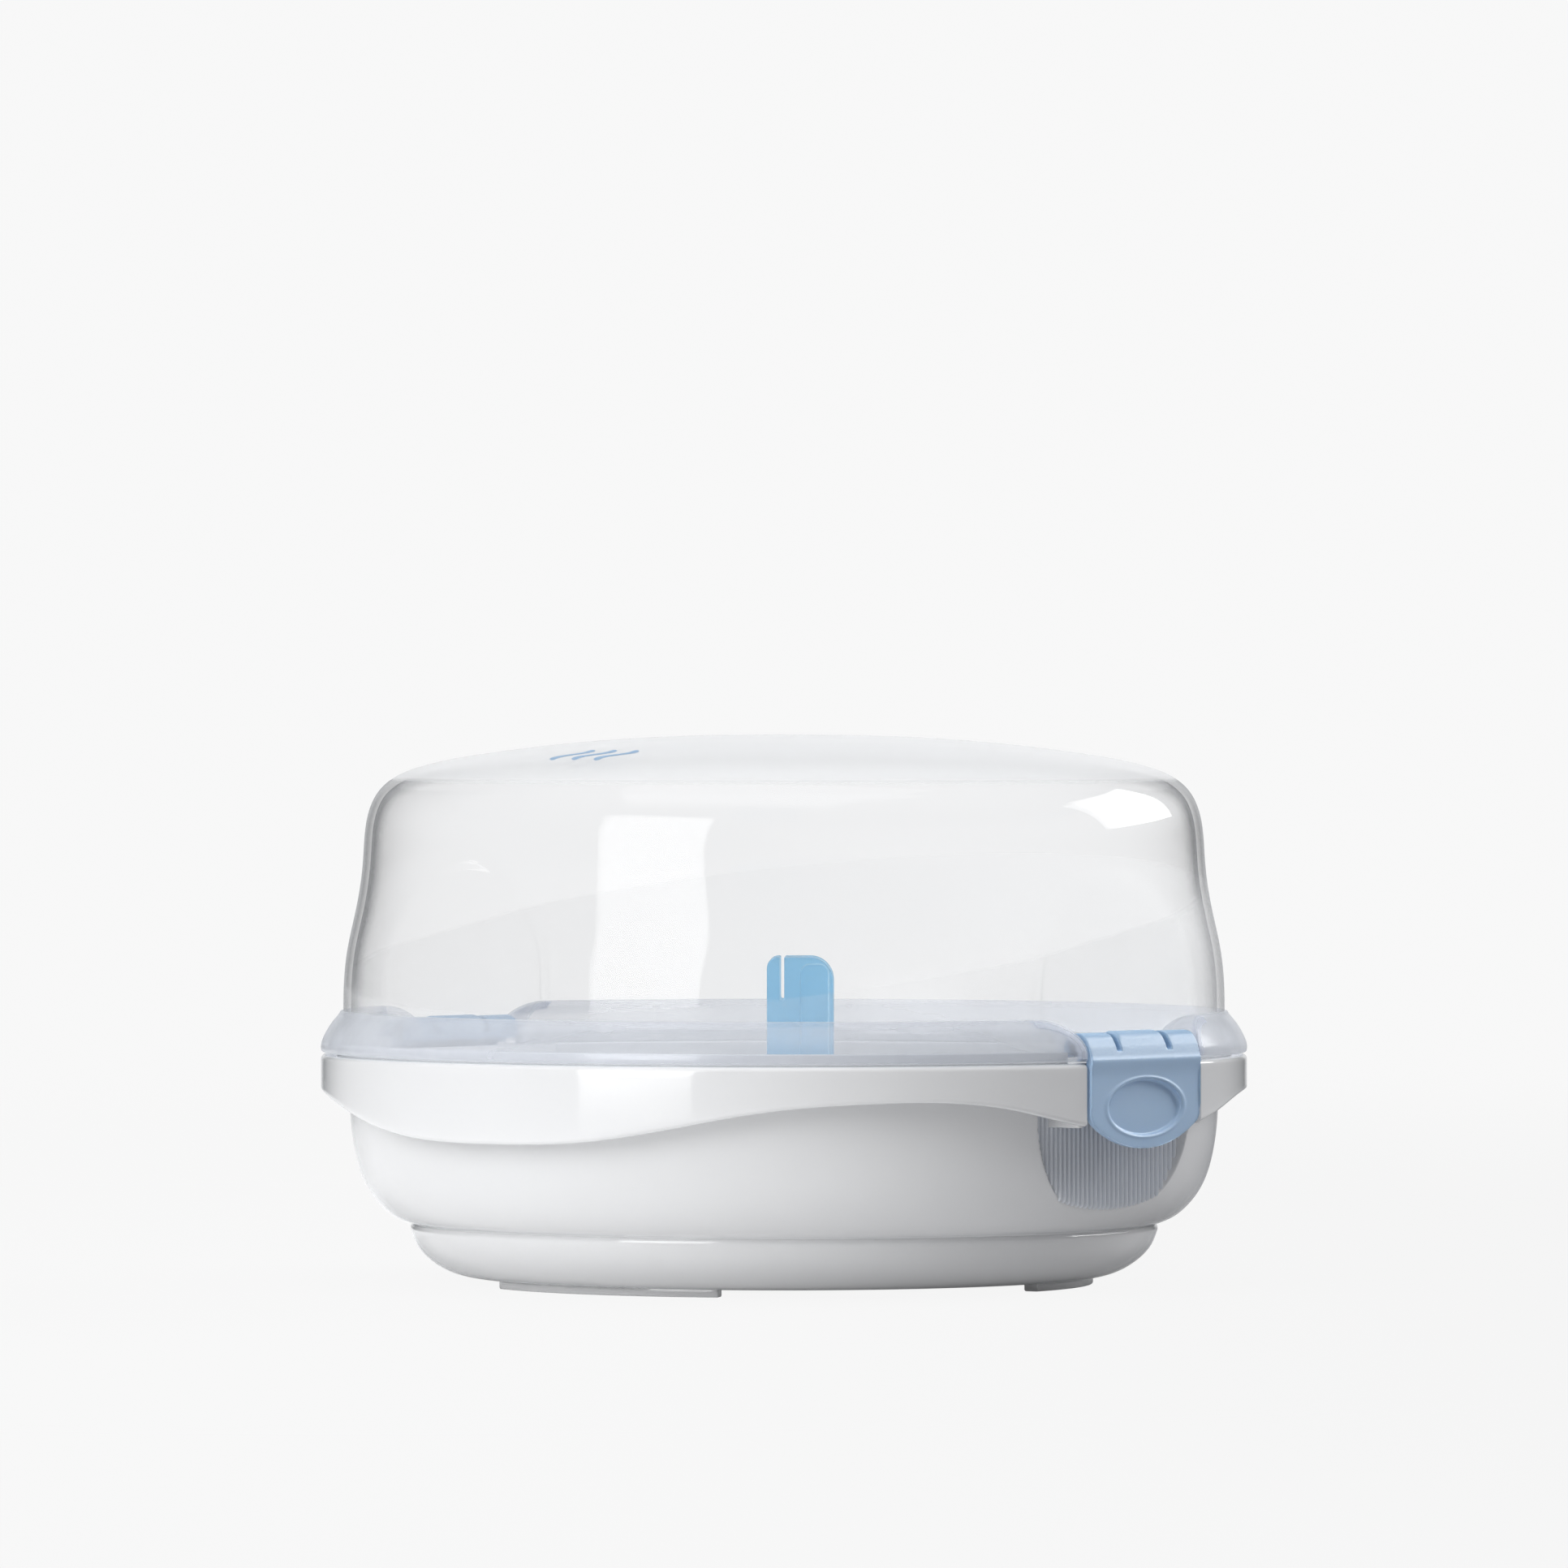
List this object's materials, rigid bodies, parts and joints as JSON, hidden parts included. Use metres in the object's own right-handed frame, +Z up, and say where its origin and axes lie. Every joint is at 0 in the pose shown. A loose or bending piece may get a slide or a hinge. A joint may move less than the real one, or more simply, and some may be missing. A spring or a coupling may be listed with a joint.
{
  "type": "bottle sterilizer",
  "caption": "Round microwave steam sterilizer for feeding bottles: bowl with skirt, rack, clear domed lid held by swing clips, and tongs.",
  "frame": {"origin": "centre of the floor plane under the feet", "axes": "+Z up through the crown of the lid, -Y is the front where the skirt is deepest, the clips are at +X and -X"},
  "size_m": [0.2768, 0.28, 0.166],
  "materials": {
    "base_white": "glossy white",
    "rack_white": "fine matte white",
    "lid_clear": "clear above, frosted below",
    "clip_blue": "satin light blue",
    "tongs_blue": "translucent light blue"
  },
  "bodies": {
    "base": {"base": "base_white"},
    "rack": {"rack": "rack_white"},
    "tongs_front": {"tongs_front_arm": "tongs_blue"},
    "tongs_rear": {"tongs_rear_arm": "tongs_blue"},
    "lid": {"lid": "lid_clear"},
    "clip_right": {"clip_right": "clip_blue"},
    "clip_left": {"clip_left": "clip_blue"}
  },
  "joints": [
    {"name": "rack_lift", "type": "slide", "parent": "base", "child": "rack", "axis": [0, 0, 1], "range_m": [0, 0.08]},
    {"name": "tongs_lift", "type": "slide", "parent": "rack", "child": "tongs_front", "axis": [0, 0, 1], "range_m": [0, 0.1]},
    {"name": "tongs_squeeze", "type": "hinge", "parent": "tongs_front", "child": "tongs_rear", "pos_m": [0.00394, 0.00308, 0.0145], "axis": [0.788, 0.6157, 0], "range_deg": [0, 12]},
    {"name": "lid_lift", "type": "slide", "parent": "tongs_front", "child": "lid", "axis": [0, 0, 1], "range_m": [0, 0.12]},
    {"name": "clip_right_swing", "type": "hinge", "parent": "lid", "child": "clip_right", "pos_m": [0.1318, 0, 0.0742], "axis": [0, -1, 0], "range_deg": [0, 110]},
    {"name": "clip_left_swing", "type": "hinge", "parent": "lid", "child": "clip_left", "pos_m": [-0.1318, 0, 0.0742], "axis": [0, 1, 0], "range_deg": [0, 110]}
  ]
}
